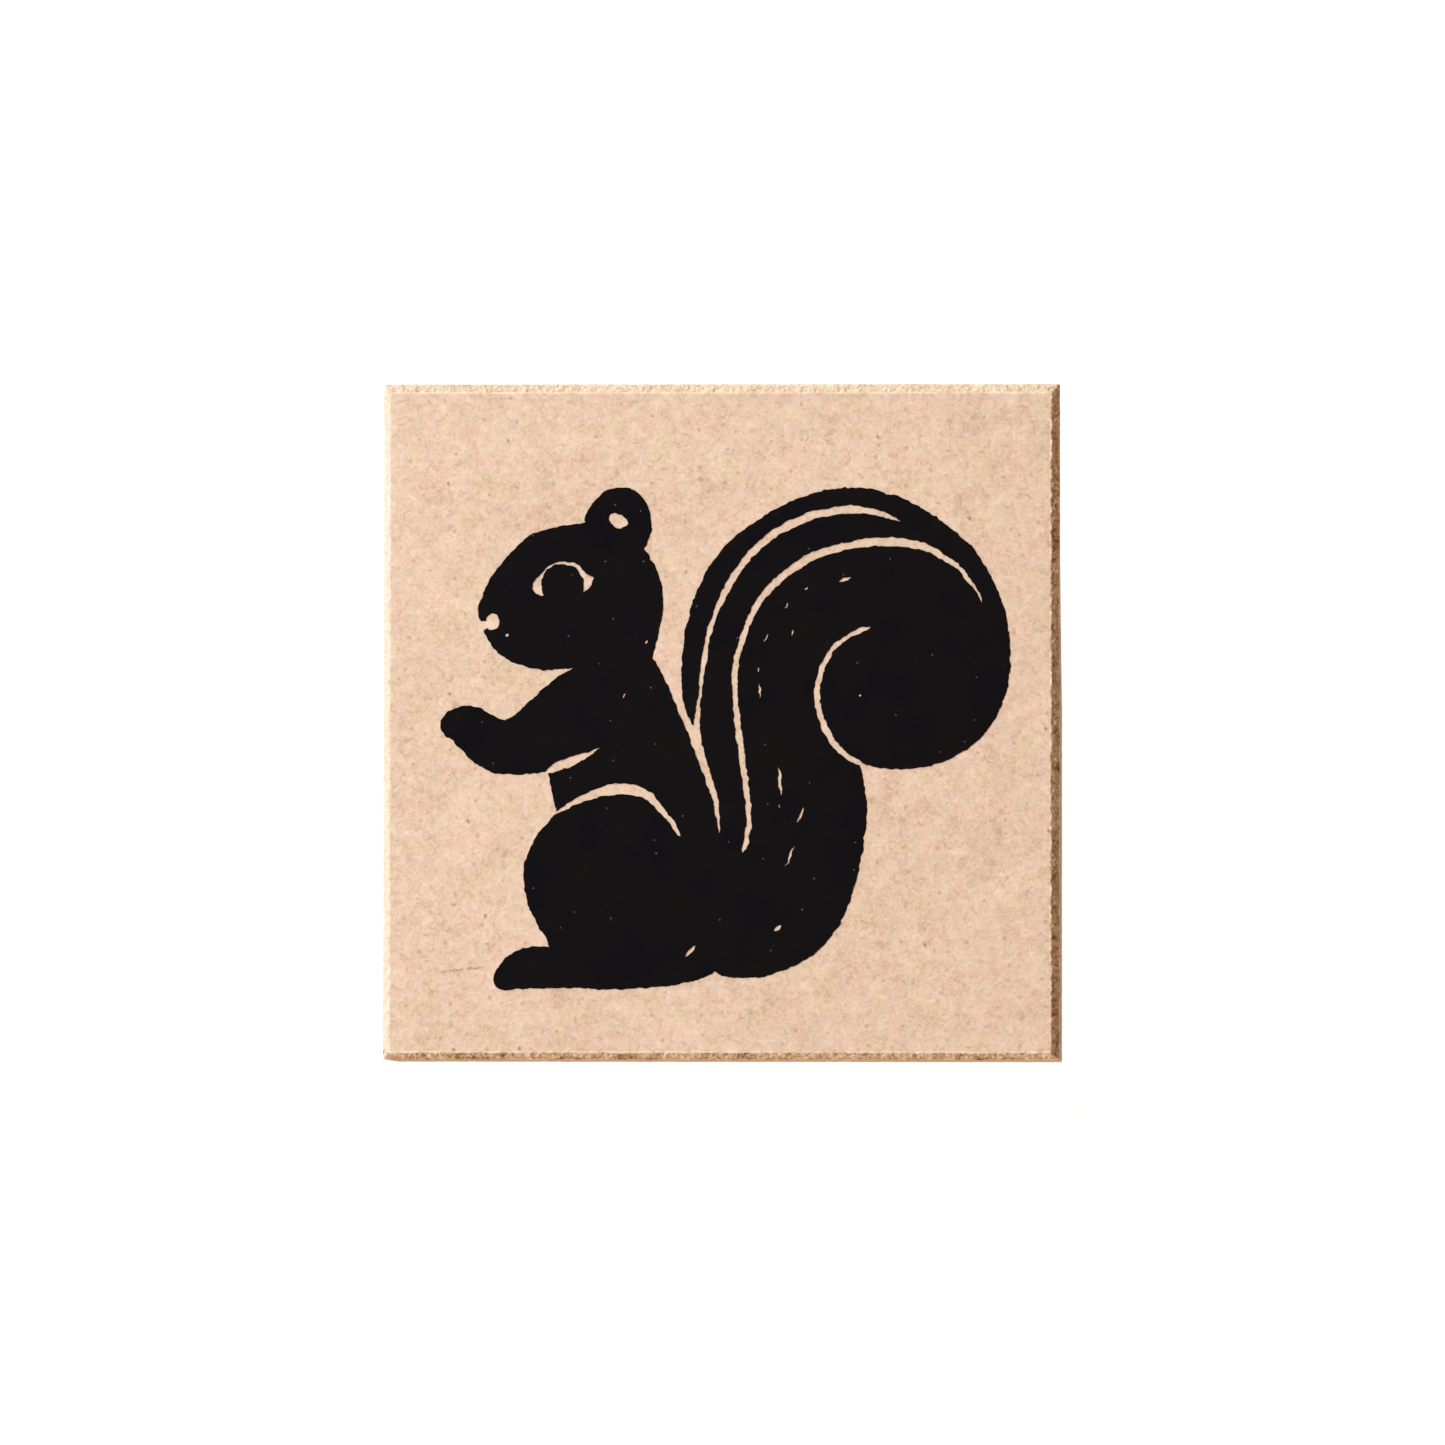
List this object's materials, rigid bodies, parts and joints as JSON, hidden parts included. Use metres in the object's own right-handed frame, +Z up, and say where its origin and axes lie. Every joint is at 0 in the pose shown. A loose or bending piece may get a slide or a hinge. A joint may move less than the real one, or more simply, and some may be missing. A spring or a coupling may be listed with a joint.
{
  "type": "rubber stamp",
  "caption": "Hand stamp: square MDF handle block, foam cushion and rubber die with a squirrel relief, and the same motif printed in ink on top.",
  "frame": {"origin": "middle of the square block in plan, at the printing face of the die", "axes": "+Z up through the cushion and the block to the printed top, +Y towards the top of the motif, +X to the right of the motif as it is seen from above"},
  "size_m": [0.05, 0.05, 0.0236],
  "materials": {
    "mdf": "sanded, with browner chamfers and cut sides",
    "ink": "matt black stamping ink",
    "tape": "milky double-sided tape",
    "foam": "fine closed-cell foam",
    "die": "smooth moulded rubber with a dull sheen"
  },
  "bodies": {
    "block": {"mount_block": "mdf", "index_print": "ink", "block_adhesive": "tape", "foam_cushion": "foam"},
    "die": {"die_adhesive": "tape", "rubber_die": "die"}
  },
  "joints": [
    {"name": "cushion_press", "type": "slide", "parent": "block", "child": "die", "axis": [0, 0, 1], "range_m": [0, 0.0008], "stiffness_N_per_m": 50000, "deforming": ["foam_cushion"]}
  ]
}
